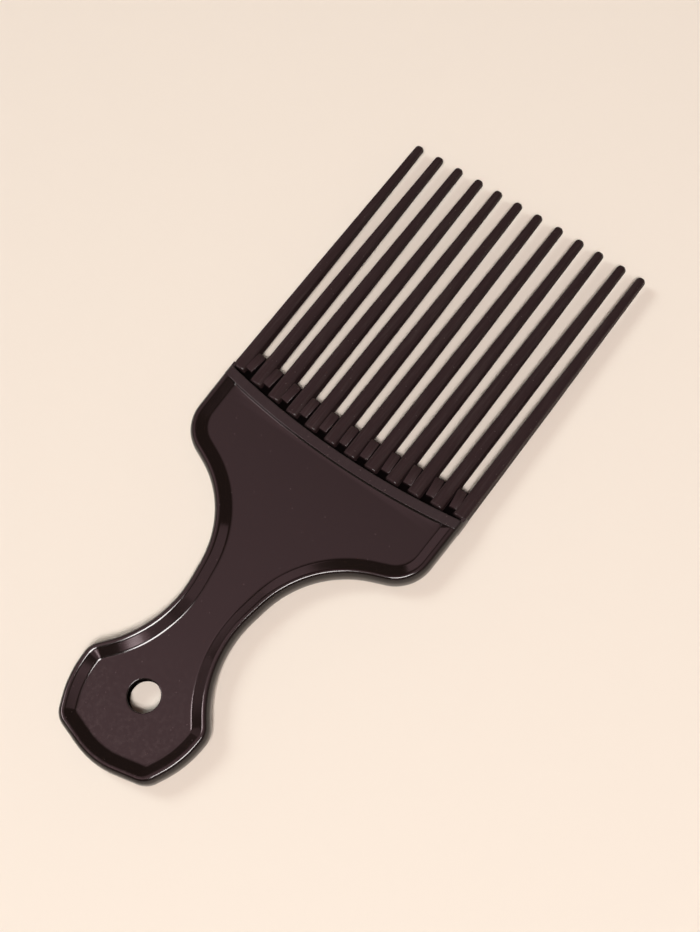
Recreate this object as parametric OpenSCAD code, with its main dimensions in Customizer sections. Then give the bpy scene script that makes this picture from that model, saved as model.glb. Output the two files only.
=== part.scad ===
// Afro pick: a wide comb with twelve long tapered teeth on a short dished handle.
// The pick lies flat on its back. Its teeth point along +Y and its front face looks up.
// Heights along the pick are measured from the end of the handle, before placed() centres it.

/* [Overall] */
// Length from the end of the handle to the tips of the middle teeth
pick_l = 173.4; // [160:0.1:200]
// Thickness at the rim and the bar
pick_t = 5.5; // [4.8:0.1:6.6]

/* [Teeth] */
// Number of teeth
tooth_count = 12; // [6:1:14]
// Spacing of the teeth at their roots
tooth_pitch = 6.1; // [5.6:0.05:6.8]
// Spacing of the tips, a little more because the teeth fan out
tip_pitch = 6.18; // [5.9:0.01:6.5]
// Width of a tooth at its root, across its belly
tooth_w = 4.2; // [3.4:0.1:4.6]
// Thickness of a tooth at its root
tooth_t = 4; // [3.4:0.1:4.6]
// Width of a tooth partway along it
mid_w = 3.65; // [3:0.05:4]
// Width of a tooth at its tip
tip_w = 2.5; // [1.6:0.1:3]
// Thickness of a tooth at its tip
tip_t = 1.8; // [1.4:0.1:2.6]
// How much shorter the outermost teeth are than the middle ones
tip_fall = 0.5; // [0:0.1:3]
// Rounding of the root end of a tooth
root_round = 0.3; // [0.1:0.05:0.5]

/* [Bar and webs] */
// Height of the lower edge of the bar on the centre line
bar_y = 89.2; // [86:0.1:93]
// Radius of the arc that the bar follows
bar_arc_r = 210; // [150:5:400]
// Width of the bar
bar_w = 2.65; // [2:0.05:4]
// Groove between the bar and the root ends of the teeth
groove_w = 0.7; // [0.4:0.05:1.2]
// Width of the strip at each side that closes the ends of the groove
heel_w = 1.2; // [0.8:0.1:1.5]
// Pocket between the bar and the webs
pocket_l = 2.3; // [1.5:0.1:3]
// Height of the bottoms of the slots on the centre line
slot_y = 99.7; // [98:0.1:103]
// Radius of the arc that the bottoms of the slots follow
slot_arc_r = 235; // [180:5:400]
// Width of the webs between the teeth, where the teeth leave room
web_w = 2.5; // [1.8:0.05:2.8]
// Thickness of the webs between the teeth
web_t = 3.4; // [2:0.1:3.6]
// Rounding of the edges of the webs
web_round = 0.45; // [0.2:0.05:0.6]
// Thickness of the plate that joins the bar, the webs and the teeth
plate_t = 1.4; // [1:0.1:1.8]

/* [Handle] */
// Half width of the head at the virtual corner of the shoulder, less than the full half width
shoulder_draw = 0.45; // [0:0.05:1.5]
// Height of the shoulder corner
shoulder_y = 75.1; // [73:0.1:78]
// Radius of the shoulder
shoulder_r = 10.6; // [6:0.1:12]
// Half width at the upper corner of the waist
waist_top_x = 12.2; // [10:0.1:14]
// Height of the upper corner of the waist
waist_top_y = 65.4; // [62:0.1:68]
// Radius of the waist above its narrowest place
waist_top_r = 26.5; // [20:0.5:28]
// Half width at the lower corner of the waist
waist_low_x = 7.05; // [6.5:0.05:9]
// Height of the lower corner of the waist
waist_low_y = 34.1; // [32:0.1:36]
// Radius of the waist below its narrowest place
waist_low_r = 29; // [22:0.5:30]
// Half width at the hip, the widest corner of the grip
hip_x = 18.3; // [17:0.1:20]
// Height of the hip
hip_y = 20.5; // [19.5:0.1:23]
// Radius of the hip
hip_r = 6; // [3:0.1:8]
// Half width at the middle of the grip's side
side_x = 18; // [16.8:0.1:19.5]
// Height of the middle of the grip's side
side_y = 11.9; // [10.5:0.1:13]
// Radius of the grip's side
side_r = 26; // [15:0.5:28]
// Half width at the foot corner
foot_x = 13.5; // [11:0.1:15]
// Radius of the foot corner
foot_r = 5.2; // [3:0.1:6.5]
// Radius of the end of the handle
end_r = 22; // [12:0.5:28]
// Slope of the end beside its rounded middle, in degrees
end_slope = 15; // [8:0.5:20]

/* [Rim and panel] */
// Rounding of the outer edges, measured across the rim
edge_r = 1.25; // [0.6:0.05:1.6]
// Rounding of the outer edges, measured down the side
edge_drop = 2.15; // [0.8:0.05:2.3]
// Width from the side to the start of the bevel
rim_w = 1.7; // [1.65:0.05:2.4]
// Width of the bevel that falls to the panel
bevel_w = 2.5; // [1.6:0.1:3]
// Rounding where the rim turns into the bevel and the bevel into the panel
bevel_round = 0.5; // [0.2:0.05:0.8]
// Thickness of the panel
panel_t = 3; // [2.6:0.1:4]

/* [Hanging hole] */
// Diameter of the hanging hole
hole_d = 7.8; // [5:0.1:9]
// Height of the centre of the hanging hole
hole_y = 18.6; // [16:0.1:22]
// Bevel round both ends of the hole
hole_bevel = 0.2; // [0.1:0.05:0.4]

/* [Joints] */
// Thickness of the bar's tongue in the handle
tongue_t = 1.4; // [1:0.1:1.6]
// Length of the tongue
tongue_l = 4; // [2:0.1:7]
// Solid handle beside each end of the tongue
tongue_inset = 4.6; // [4:0.1:8]
// Clearance between pieces that are joined
joint_gap = 0.05; // [0.02:0.01:0.1]
// Clearance between a web and the teeth beside it
web_gap = 0.12; // [0.1:0.01:0.2]

/* [Hidden] */
$fn = 96;
// Steps of a rounded edge
edge_steps = 3;
// Largest gap between the arc of a corner and its chords
corner_sag = 0.03;
// Smallest radius of an inner corner
corner_min = 0.4;
// Overrun of every cut
over = 1;
// Segments of the two long arcs
arc_fn = 720;
// Rings of a tooth's rounded tip, and the angle at which it ends in a small flat
tip_rings = 5;
tip_angle = 80;
// Corners of a quarter of a tooth's section, as shares of its half width and half thickness:
// the edge of the flat face, the shoulder and the belly
section_shares = [[0.35, 1], [0.75, 0.9], [1, 0.1]];
// Place of the mid width, as a share of the tooth's length
mid_share = 0.45;
// Lean of each tooth's tip from its place, as shares of the pitch
lean_shares = [0.01, 0.02, 0.01, 0.03, 0, 0, 0, 0.02, 0.04, 0, 0.08, 0.01];

head_w = (tooth_count - 1) * tooth_pitch + tooth_w;
outer_x = (tooth_count - 1) * tooth_pitch / 2;
head_y = bar_y + bar_w + groove_w;
plate_w = 2 * outer_x + tooth_w / 3;
tongue_w = head_w - 2 * tongue_inset;

function tooth_name(i) = str("tooth_", i < 9 ? "0" : "", i + 1);

// Height at x of an arc that is lowest on the centre line
function arc_y(y, r, x) = y + r - sqrt(r * r - x * x);
function root_y(x) = arc_y(head_y, bar_arc_r - bar_w - groove_w, x);
function bar_top_y(x) = arc_y(bar_y + bar_w, bar_arc_r - bar_w, x);
function web_low_y(x) = arc_y(bar_y + bar_w + pocket_l, bar_arc_r - bar_w - pocket_l, x);
function slot_low_y(x) = arc_y(slot_y, slot_arc_r, x);

// Half width of the head at height y. It grows up to where the bar meets the outermost teeth.
head_side_y = bar_top_y(head_w / 2);
function head_x(y) =
    head_w / 2 - shoulder_draw * (head_side_y - y) / (head_side_y - shoulder_y);

// Corners of one side of the handle, as [x, y, radius], from the end to the shoulder
end_y = end_r * (1 - 1 / cos(end_slope));
foot_y = end_y + foot_x * tan(end_slope);
side_corners = [
    [foot_x, foot_y, foot_r],
    [side_x, side_y, side_r],
    [hip_x, hip_y, hip_r],
    [waist_low_x, waist_low_y, waist_low_r],
    [waist_top_x, waist_top_y, waist_top_r],
    [head_w / 2 - shoulder_draw, shoulder_y, shoulder_r]
];
function mirrored(corners) =
    [for (i = [len(corners) - 1 : -1 : 0]) [-corners[i].x, corners[i].y, corners[i].z]];
function handle_corners(top_y) =
    concat(
        [[0, end_y, end_r]],
        side_corners,
        [[head_x(top_y), top_y, 0], [-head_x(top_y), top_y, 0]],
        mirrored(side_corners)
    );

// Rounded outlines. A corner keeps its radius, and inner outlines are drawn parallel to the outer one.
function at(list, i) = list[(i + len(list)) % len(list)];
function flat(p) = [p.x, p.y];
function unit(v) = v / norm(v);
function inward(a, b) = let (d = unit(flat(b) - flat(a))) [-d.y, d.x];
function turn(list, i) =
    let (u = unit(flat(list[i]) - flat(at(list, i - 1))), v = unit(flat(at(list, i + 1)) - flat(list[i])))
    atan2(u.x * v.y - u.y * v.x, u.x * v.x + u.y * v.y);
function reach(list, i) = abs(at(list, i).z * tan(turn(list, (i + len(list)) % len(list)) / 2));
function room(list, i, j) =
    let (wanted = reach(list, i) + reach(list, j))
    wanted == 0 ? 1 : norm(flat(at(list, i)) - flat(at(list, j))) / wanted;
function fitted(list) =
    [for (i = [0 : len(list) - 1])
        [list[i].x, list[i].y, list[i].z * min(1, room(list, i, i - 1), room(list, i, i + 1))]];
function moved_in(list, d) =
    [for (i = [0 : len(list) - 1])
        let (a = inward(at(list, i - 1), list[i]), b = inward(list[i], at(list, i + 1)))
        flat(list[i]) + d * (a + b) / (1 + a * b)];
function corner_points(p, u, v, r, angle, steps) =
    steps == 0 ? [p] :
    let (c = p + unit(v - u) * r / cos(angle / 2), first = [u.y, -u.x] * sign(angle))
    [for (k = [0 : steps])
        let (a = angle * k / steps)
        c + r * [first.x * cos(a) - first.y * sin(a), first.x * sin(a) + first.y * cos(a)]];
function arc_steps(r, angle) =
    r == 0 ? 0 : 2 * ceil(abs(angle) / acos(1 - corner_sag / r) / 4) + 1;
function outline(list, d) =
    let (base = fitted(list), inner = moved_in(base, d))
    [for (i = [0 : len(base) - 1])
        let (
            angle = turn(base, i),
            r = angle > 0 ? max(base[i].z - d, corner_min) : base[i].z + d,
            u = unit(inner[i] - at(inner, i - 1)),
            v = unit(at(inner, i + 1) - inner[i])
        )
        each corner_points(inner[i], u, v, r, angle, arc_steps(base[i].z, angle))];

// Outline at height z: its right half from the end upward, then the same points mirrored
function ring(list, d, z) =
    let (right = [for (p = outline(list, d)) if (p.x > 0) [p.x, p.y, z]])
    concat(right, [for (i = [len(right) - 1 : -1 : 0]) [-right[i].x, right[i].y, z]]);

// Solid skin through rings of equally many points. The caps join each point to the one across the ring.
module loft(rings) {
    n = len(rings[0]);
    last = len(rings) - 1;
    sides = [for (k = [0 : last - 1], i = [0 : n - 1])
        [k * n + i, (k + 1) * n + i, (k + 1) * n + (i + 1) % n, k * n + (i + 1) % n]];
    floor = [for (i = [0 : n / 2 - 2]) [i, i + 1, n - 2 - i, n - 1 - i]];
    roof = [for (face = floor) [for (k = [3 : -1 : 0]) last * n + face[k]]];
    polyhedron(points = [for (points = rings) each points], faces = concat(floor, sides, roof));
}

// Rounded edge as [inset, height] pairs, from the side up to the face at height h.
// It is r wide and falls by drop.
function edge_profile(r, drop, h) =
    [for (k = [0 : edge_steps])
        let (a = 90 * k / edge_steps) [r * (1 - cos(a)), h - drop * (1 - sin(a))]];
function both_edges(r, drop, h) =
    let (top = edge_profile(r, drop, h))
    concat([for (k = [edge_steps : -1 : 0]) [top[k].x, -top[k].y]], top);

// Blank with rounded edges on a list of corners
module blank(corners) {
    loft([for (p = both_edges(edge_r, edge_drop, pick_t / 2)) ring(corners, p.x, p.y)]);
}

// Everything above an arc that is lowest on the centre line
module above_arc(y, r, t) {
    translate([0, y + r, 0]) cylinder(r = r, h = t, center = true, $fn = arc_fn);
}
// Strip between two arcs, w wide and t thick
module arc_strip(low_y, low_r, top_y, top_r, w, t) {
    intersection() {
        difference() {
            above_arc(low_y, low_r, t);
            above_arc(top_y, top_r, t + over);
        }
        translate([-w / 2, low_y - over, -t / 2]) cube([w, top_y - low_y + head_w / 2, t]);
    }
}

// Tongue of the bar, or with a gap the socket for it
module tongue(gap) {
    arc_strip(
        bar_y - tongue_l - gap, bar_arc_r + tongue_l + gap,
        bar_y + bar_w / 2, bar_arc_r - bar_w / 2,
        tongue_w + 2 * gap, tongue_t + 2 * gap
    );
}

// Plate under the webs and inside the teeth, or with a gap the slot for it
module plate(gap) {
    arc_strip(
        bar_y + bar_w / 2, bar_arc_r - bar_w / 2,
        slot_y + gap, slot_arc_r - gap,
        plate_w + 2 * gap, plate_t + 2 * gap
    );
}

// Dished recess of one face, from the rim down to the panel
dish_drop = (pick_t - panel_t) / 2;
dish_rings = [
    [rim_w - bevel_round / 2, pick_t / 2 + over],
    [rim_w - bevel_round / 2, pick_t / 2],
    [rim_w + bevel_round / 2, pick_t / 2 - dish_drop * bevel_round / bevel_w / 2],
    [rim_w + bevel_w - bevel_round, panel_t / 2 + dish_drop * bevel_round / bevel_w],
    [rim_w + bevel_w, panel_t / 2 + dish_drop * bevel_round / bevel_w / 4],
    [rim_w + bevel_w + bevel_round, panel_t / 2]
];
module dish() {
    corners = handle_corners(head_y + 2 * rim_w + 2 * bevel_w);
    loft([for (i = [len(dish_rings) - 1 : -1 : 0]) ring(corners, dish_rings[i].x, dish_rings[i].y)]);
}

module hanging_hole() {
    cylinder(d = hole_d, h = pick_t + over, center = true);
    for (s = [0, 1]) mirror([0, 0, s]) {
        translate([0, 0, panel_t / 2 - hole_bevel])
            cylinder(d1 = hole_d, d2 = hole_d + 4 * hole_bevel, h = 2 * hole_bevel);
    }
}

// Lays the pick on its back with its box centred
module placed() {
    translate([0, -pick_l / 2, pick_t / 2]) children();
}

// Glossy handle: rim, dished panels, hanging hole and the socket for the bar
module handle() color([0.25, 0.19, 0.19]) placed() difference() {
    blank(handle_corners(head_y + rim_w));
    above_arc(bar_y - joint_gap, bar_arc_r + joint_gap, pick_t + over);
    for (s = [0, 1]) mirror([0, 0, s]) dish();
    translate([0, hole_y, 0]) hanging_hole();
    tongue(joint_gap);
}

// Half width of a tooth's root at height z: full over its belly, less towards its shoulders
belly_z = section_shares[2].y * tooth_t / 2;
shoulder_z = section_shares[1].y * tooth_t / 2;
function root_half_w(z) =
    between(tooth_w, section_shares[1].x * tooth_w,
        max(0, (abs(z) - belly_z) / (shoulder_z - belly_z))) / 2;

// Block with rounded edges that fills the foot of one slot and follows the bellies of its teeth
module web(x) {
    edges = both_edges(web_round, web_round, web_t / 2);
    rings = concat(
        [for (p = edges) if (p.y < 0) p],
        [[0, -belly_z], [0, belly_z]],
        [for (p = edges) if (p.y > 0) p]
    );
    loft([for (p = rings)
        let (
            half = min(web_w / 2, tooth_pitch / 2 - root_half_w(p.y) - web_gap),
            a = x - half + p.x,
            b = x + half - p.x
        )
        [
            [a, web_low_y(a) + p.x, p.y],
            [b, web_low_y(b) + p.x, p.y],
            [b, slot_low_y(b) - 2 * p.x, p.y],
            [a, slot_low_y(a) - 2 * p.x, p.y]
        ]]);
}

// Satin bar across the head, with its tongue, the plate and the webs
module tooth_bar() color([0.2, 0.15, 0.16]) placed() {
    low = shoulder_y + shoulder_r;
    top = head_y + head_w / 8;
    difference() {
        blank([
            [head_x(low), low, 0],
            [head_x(top), top, 0],
            [-head_x(top), top, 0],
            [-head_x(low), low, 0]
        ]);
        difference() {
            translate([0, bar_y, 0]) cube([2 * head_w, head_w, pick_t + over], center = true);
            above_arc(bar_y, bar_arc_r, pick_t + over);
        }
        above_arc(bar_y + bar_w, bar_arc_r - bar_w, pick_t + over);
    }
    tongue(0);
    plate(0);
    for (i = [1 : tooth_count - 1]) web(i * tooth_pitch - outer_x - tooth_pitch / 2);
}

// Section of a tooth: flat faces, sloping shoulders and a belly. s scales it about its axis.
function tooth_ring(x, y, w, t, s) =
    let (
        quarter = [for (p = section_shares) [p.x * w / 2, p.y * t / 2]],
        last = len(quarter) - 1,
        half = concat(quarter, [for (i = [last : -1 : 0]) [quarter[i].x, -quarter[i].y]])
    )
    [for (side = [1, -1], p = half) [x + s * side * p.x, y, s * side * p.y]];
function between(a, b, share) = a + (b - a) * share;

// Tooth number i, counted from the left, forked at its root over the plate
module tooth(i) {
    x = i * tooth_pitch - outer_x;
    tip_x = x / tooth_pitch * tip_pitch + lean_shares[i % len(lean_shares)] * tooth_pitch;
    tip_y = pick_l - tip_fall * pow(x / outer_x, 2);
    outermost = i == 0 || i == tooth_count - 1;
    low = outermost ? bar_top_y(x + tooth_w / 2 * sign(x)) + joint_gap : root_y(x);
    round_r = tip_w / 2;
    color([0.2, 0.15, 0.16]) placed() difference() {
        loft(concat(
            [tooth_ring(x, low, tooth_w, tooth_t, 1 - 2 * root_round / tooth_t)],
            [tooth_ring(x, low + root_round, tooth_w, tooth_t, 1)],
            [tooth_ring(
                between(x, tip_x, mid_share),
                between(low + root_round, tip_y - round_r, mid_share),
                mid_w, between(tooth_t, tip_t, mid_share), 1
            )],
            [for (k = [0 : tip_rings - 1])
                let (a = tip_angle * k / (tip_rings - 1))
                tooth_ring(tip_x, tip_y - round_r * (sin(tip_angle) - sin(a)), tip_w, tip_t, cos(a))]
        ));
        plate(joint_gap);
        if (outermost) groove();
    }
}

// Ends of the groove, cut into the outermost teeth down to the plate
module groove() {
    for (s = [0, 1]) mirror([0, 0, s]) translate([0, 0, pick_t / 2 + over])
        arc_strip(
            bar_y + bar_w / 2, bar_arc_r - bar_w / 2,
            head_y, bar_arc_r - bar_w - groove_w,
            head_w - 2 * heel_w, pick_t - plate_t + 2 * over
        );
}

handle();
tooth_bar();
for (i = [0 : tooth_count - 1]) {
    tooth(i);
}
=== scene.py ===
# %% [markdown]
# # An afro pick in black moulded plastic
#
# The pick lies on its back on a pale table. Its handle is glossy, with a raised rim round a dished panel.
# Its bar and its twelve teeth are satin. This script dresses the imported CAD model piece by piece, in the
# same frame. The pick is drawn in millimetres, measured up from the end of its handle, and one function,
# place, turns a point of the drawing into metres in the frame of the model.

# %% Tools and frame
from math import atan2, ceil, cos, hypot, pi, radians, sin, sqrt, tan

import bmesh
import bpy
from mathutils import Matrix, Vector, geometry


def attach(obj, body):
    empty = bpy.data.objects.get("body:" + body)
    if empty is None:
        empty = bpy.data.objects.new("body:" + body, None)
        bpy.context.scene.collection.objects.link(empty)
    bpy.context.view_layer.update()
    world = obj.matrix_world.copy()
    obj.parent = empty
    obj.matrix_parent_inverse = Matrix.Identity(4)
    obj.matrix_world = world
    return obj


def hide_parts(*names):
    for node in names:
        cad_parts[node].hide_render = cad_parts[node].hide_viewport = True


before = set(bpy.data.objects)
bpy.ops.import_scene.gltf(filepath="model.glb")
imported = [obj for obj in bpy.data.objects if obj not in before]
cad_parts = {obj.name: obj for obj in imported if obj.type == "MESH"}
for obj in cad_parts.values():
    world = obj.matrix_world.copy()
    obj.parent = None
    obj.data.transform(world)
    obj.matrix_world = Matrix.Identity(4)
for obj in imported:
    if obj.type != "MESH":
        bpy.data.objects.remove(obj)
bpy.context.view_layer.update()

# %% [markdown]
# ## Sizes of the pick
#
# A moulded part is drawn before its mould is cut, and the same few sizes drive everything here. They could
# be typed where each is used, but then two pieces that meet would soon disagree. Keeping them in one cell
# makes it plain where a change of shape is made, and the names say which piece they belong to.

# %% Sizes in millimetres
MM = 0.001
PICK_LENGTH = 173.4
PICK_THICKNESS = 5.5
TEETH = 12
ROOT_PITCH = 6.1
TIP_PITCH = 6.18
ROOT_WIDTH = 4.2
MID_WIDTH = 3.65
ROOT_THICKNESS = 4.0
TIP_WIDTH = 2.5
TIP_THICKNESS = 1.8
TIP_FALL = 0.5  # how much lower the outer tips end
BAR_LOW = 89.2  # lower edge of the bar on the centre line
BAR_ARC = 210.0  # radius of that edge
BAR_WIDTH = 2.65
GROOVE = 0.7  # from the bar to the roots of the teeth
POCKET = 2.3  # from the bar to the web of each slot
SLOT_LOW = 99.7  # where the web ends and the slot begins, on the centre line
SLOT_ARC = 235.0  # radius of the arc of these slots
PLATE_THICKNESS = 1.4
WEB_THICKNESS = 3.4
PANEL_THICKNESS = 3.0
HOLE_RADIUS = 3.9
HOLE_UP = 18.6

HALF = PICK_THICKNESS / 2
OUTER_TOOTH = (TEETH - 1) * ROOT_PITCH / 2
HEAD_HALF = OUTER_TOOTH + ROOT_WIDTH / 2


def place(x, up, z):
    """A point of the drawing in metres: x across, up the pick and z from its middle plane."""
    return Vector((x, up - PICK_LENGTH / 2, z + HALF)) * MM


def arc_up(low, radius, x):
    """Height at x of an arc whose lowest point is on the centre line."""
    return low + radius - sqrt(radius * radius - x * x)


print("head is", 2 * HEAD_HALF, "mm wide; the pick is", PICK_LENGTH, "mm long")

# %% [markdown]
# ## Camera
#
# The photograph looks down on the pick from in front of its handle and a little to the right, so the pick
# runs from the lower left to the upper right of the picture. A camera can be placed by eye, but long teeth
# show every small error. So its place and turn were fitted to points of the outline whose sizes are known
# from the drawing, and the lens gives the same convergence.

# %% Camera
CAMERA_PLACE = (0.096224, -0.071815, 0.318523)
CAMERA_TURN = (20.1427, 4.9151, 37.1402)
FOCAL_PIXELS = 1400
PHOTO_HEIGHT = 932
SENSOR = 36.0
NEAREST = 0.01


def add_object(name, data):
    """A new object with that data, linked to the scene."""
    item = bpy.data.objects.new(name, data)
    bpy.context.scene.collection.objects.link(item)
    return item


camera = add_object("photo_camera", bpy.data.cameras.new("photo_camera"))
camera.data.sensor_width = SENSOR
camera.data.lens = FOCAL_PIXELS / PHOTO_HEIGHT * SENSOR
camera.data.clip_start = NEAREST
camera.location = CAMERA_PLACE
camera.rotation_euler = [radians(a) for a in CAMERA_TURN]
bpy.context.scene.camera = camera
bpy.context.scene.view_settings.view_transform = "Standard"
print("lens", round(camera.data.lens, 2), "mm")

# %% [markdown]
# ## Table
#
# A pale table carries the pick and takes its soft shadow. A large square plane would be the quickest floor,
# but its edge would show in low views and in the polished rim. So the table is a wide round disc with an
# upstand: a profile turned about the middle. Its finish is plain and matt. Far from the pick it also glows,
# to the eye and in reflections only, in the colour that the lit table has near the pick, so it looks the
# same all the way out. A node takes three or four lines in a script, so small helpers write them, here and
# in every later tree.

# %% Finish of the table
TABLE_COLOUR = (0.975, 0.875, 0.77, 1)
TABLE_ROUGHNESS = 0.9
TABLE_SPECULAR = 0.1


def new_material(name):
    """A material with nodes, as its material, its tree and its Principled BSDF."""
    material = bpy.data.materials.new(name)
    material.use_nodes = True
    return material, material.node_tree, material.node_tree.nodes["Principled BSDF"]


table_material, table_tree, table_shader = new_material("pale_table")
table_shader.inputs["Base Color"].default_value = TABLE_COLOUR
table_shader.inputs["Roughness"].default_value = TABLE_ROUGHNESS
table_shader.inputs["Specular IOR Level"].default_value = TABLE_SPECULAR
print("finish of the table:", table_material.name)

# %% Glow of the table far from the pick
FAR_COLOUR = (0.94, 0.81, 0.70, 1)
FAR_FROM, FAR_TO = 0.7, 1.5


def connect(tree, feed, socket):
    """A socket is linked to this one, a value is written on it, and None leaves it as it is."""
    if isinstance(feed, bpy.types.NodeSocket):
        tree.links.new(feed, socket)
    elif feed is not None:
        socket.default_value = feed


def wire(tree, kind, *feeds, **settings):
    """Adds a node, gives it settings, feeds its inputs in order with sockets or values, and returns it."""
    node = tree.nodes.new(kind)
    for key, value in settings.items():
        setattr(node, key, value)
    for index, feed in enumerate(feeds):
        connect(tree, feed, node.inputs[index])
    return node


def calc(tree, operation, a, b=None):
    """The result of a Math node."""
    return wire(tree, "ShaderNodeMath", a, b, operation=operation).outputs[0]


def remap(tree, value, low, high, to_low=0.0, to_high=1.0):
    """The result of a Map Range node, which takes low to high onto another range and stops at its ends."""
    return wire(tree, "ShaderNodeMapRange", value, low, high, to_low, to_high).outputs[0]


table_spot = wire(table_tree, "ShaderNodeTexCoord").outputs["Object"]
away = wire(table_tree, "ShaderNodeVectorMath", table_spot, operation="LENGTH").outputs["Value"]
far_share = remap(table_tree, away, FAR_FROM, FAR_TO)
rays = wire(table_tree, "ShaderNodeLightPath").outputs
mirrored = calc(table_tree, "MAXIMUM", rays["Is Glossy Ray"], rays["Is Transmission Ray"])
seen = calc(table_tree, "MAXIMUM", rays["Is Camera Ray"], mirrored)
glow = wire(table_tree, "ShaderNodeEmission", FAR_COLOUR, 1.0)
table_mix = wire(table_tree, "ShaderNodeMixShader", calc(table_tree, "MULTIPLY", far_share, seen),
                 table_shader.outputs[0], glow.outputs[0])
connect(table_tree, table_mix.outputs[0], table_tree.nodes["Material Output"].inputs["Surface"])
print(table_material.name, "has", len(table_tree.nodes), "nodes")

# %% Shape of the table
# Radius and height of each ring, in metres
TABLE_PROFILE = [(0.5, 0.0), (1.0, 0.0), (1.6, 0.0), (2.1, 0.0), (2.3, 0.06), (2.4, 0.25), (2.4, 0.8)]
TABLE_SPOKES = 96
spokes = [2 * pi * i / TABLE_SPOKES for i in range(TABLE_SPOKES)]
table_points = [(radius * cos(a), radius * sin(a), z) for radius, z in TABLE_PROFILE for a in spokes]
table_faces = [tuple(range(TABLE_SPOKES))]
for ring in range(len(TABLE_PROFILE) - 1):
    inner, outer = ring * TABLE_SPOKES, (ring + 1) * TABLE_SPOKES
    table_faces += [(inner + i, outer + i, outer + (i + 1) % TABLE_SPOKES, inner + (i + 1) % TABLE_SPOKES)
                    for i in range(TABLE_SPOKES)]
table_mesh = bpy.data.meshes.new("table")
table_mesh.from_pydata(table_points, [], table_faces)
table_mesh.materials.append(table_material)
table = add_object("table", table_mesh)
print("table", 2 * TABLE_PROFILE[-1][0], "m across")

# %% [markdown]
# ## Light
#
# Glossy black plastic shows almost nothing of its own colour. What the eye sees on it is the room: a broad
# dim ceiling in the flat panel, a small bright softbox in every rounded edge, and dark gaps between them.
# Lamps can be guessed at and nudged, but it is surer to work back from the photograph: the slope of the rim
# under each bright or dark band, and the mirror rule, say where in the room its reflection comes from. A
# dim level card hangs in each of those places. The cards show in polished surfaces alone, and two other
# softboxes light what is matt, so the bands on the rim can be set without changing how bright the table is.

# %% Softboxes
ROOM_TINT = (1.0, 0.60, 0.66)
CEILING_GLOW = 0.42
CEILING_SPREAD = radians(99)
# The ceiling shines as if it hung on this side of the pick
CEILING_SHINES_FROM = (-0.28, -0.35, 0.89)


def facing(way):
    """The turn of a lamp that hangs in the direction way and shines back along it."""
    return way.to_track_quat("Z", "Y").to_euler()


def softbox(name, toward, distance, size, radiance, colour, lights):
    """A lamp of that size in the direction toward, turned to the pick. It lights only gloss or only matt."""
    width, height = size
    data = bpy.data.lights.new(name, "AREA")
    data.shape = "RECTANGLE"
    data.size, data.size_y = width, height
    data.energy = radiance * pi * width * height
    data.color = colour
    lamp = add_object(name, data)
    way = Vector(toward).normalized()
    lamp.location = way * distance
    lamp.rotation_euler = facing(way)
    lamp.visible_camera = False
    lamp.visible_glossy = lights == "gloss"
    lamp.visible_diffuse = lights == "matt"
    share = radiance * width * height * way.z / (pi * distance * distance)
    print(name, "lights the table to", round(share, 2) if lights == "matt" else 0)
    return lamp


softbox("key_softbox", toward=(0.14, -0.14, 0.98), distance=1.6, size=(0.42, 0.42), radiance=27.0,
        colour=(1.0, 0.95, 0.93), lights="gloss")
softbox("overhead", toward=(0.30, -0.35, 0.88), distance=1.6, size=(0.42, 0.42), radiance=35.0,
        colour=(1.0, 0.965, 0.95), lights="matt")
softbox("window", toward=(-0.75, -0.05, 0.66), distance=3.0, size=(1.0, 1.0), radiance=7.5,
        colour=(0.88, 1.0, 1.0), lights="matt")
ceiling = softbox("ceiling_glow", toward=(-0.30, 0.16, 0.94), distance=2.0, size=(1.9, 1.9),
                  radiance=CEILING_GLOW, colour=ROOM_TINT, lights="gloss")
ceiling.data.spread = CEILING_SPREAD
ceiling.rotation_euler = facing(Vector(CEILING_SHINES_FROM))

# %% Cards
# Two cards in one plane would count only once in a polished surface, so those that overlap hang at
# different heights. Each row gives the name, the left and right edge, the near and far edge and the height
# above the table, in metres, then the radiance and the tint.
SPARK_TINT = (1.0, 0.82, 0.84)
CARDS = [
    ("right_card", 0.131, 0.205, -0.015, 0.185, 0.3, 0.80, ROOM_TINT),
    ("right_foot_card", 0.131, 0.168, -0.045, -0.015, 0.3, 1.05, ROOM_TINT),
    ("right_dim_card", 0.168, 0.205, -0.080, -0.015, 0.3, 0.35, ROOM_TINT),
    ("right_low_card", 0.118, 0.19, -0.215, -0.08, 0.3, 0.7, ROOM_TINT),
    ("right_patch", 0.108, 0.152, -0.222, -0.148, 0.29, 1.2, ROOM_TINT),
    ("right_spark", 0.118, 0.136, -0.202, -0.160, 0.28, 5.5, SPARK_TINT),
    ("left_card", -0.235, -0.20, -0.095, 0.10, 0.1, 0.8, ROOM_TINT),
    ("left_high_card", -0.20, -0.115, 0.03, 0.115, 0.1, 0.85, ROOM_TINT),
    ("left_low_card", -0.20, -0.145, -0.15, -0.075, 0.1, 0.45, ROOM_TINT),
    ("left_near_card", -0.145, -0.06, -0.11, -0.02, 0.1, 0.5, ROOM_TINT),
    ("bar_card", -0.175, -0.118, -0.19, -0.10, 0.234, 12.0, SPARK_TINT),
]
for name, left, right, near, far, height, radiance, tint in CARDS:
    card = softbox(name, toward=(0, 0, 1), distance=height, size=(right - left, far - near),
                   radiance=radiance, colour=tint, lights="gloss")
    card.location = ((left + right) / 2, (near + far) / 2, height)

# %% Room
ROOM_COLOUR = (1.0, 0.68, 0.57, 1)
ROOM_STRENGTH = 0.12
room = bpy.data.worlds.new("room")
room.use_nodes = True
room.node_tree.nodes["Background"].inputs["Color"].default_value = ROOM_COLOUR
room.node_tree.nodes["Background"].inputs["Strength"].default_value = ROOM_STRENGTH
bpy.context.scene.world = room
print("room", room.name, "at", ROOM_STRENGTH)

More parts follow.
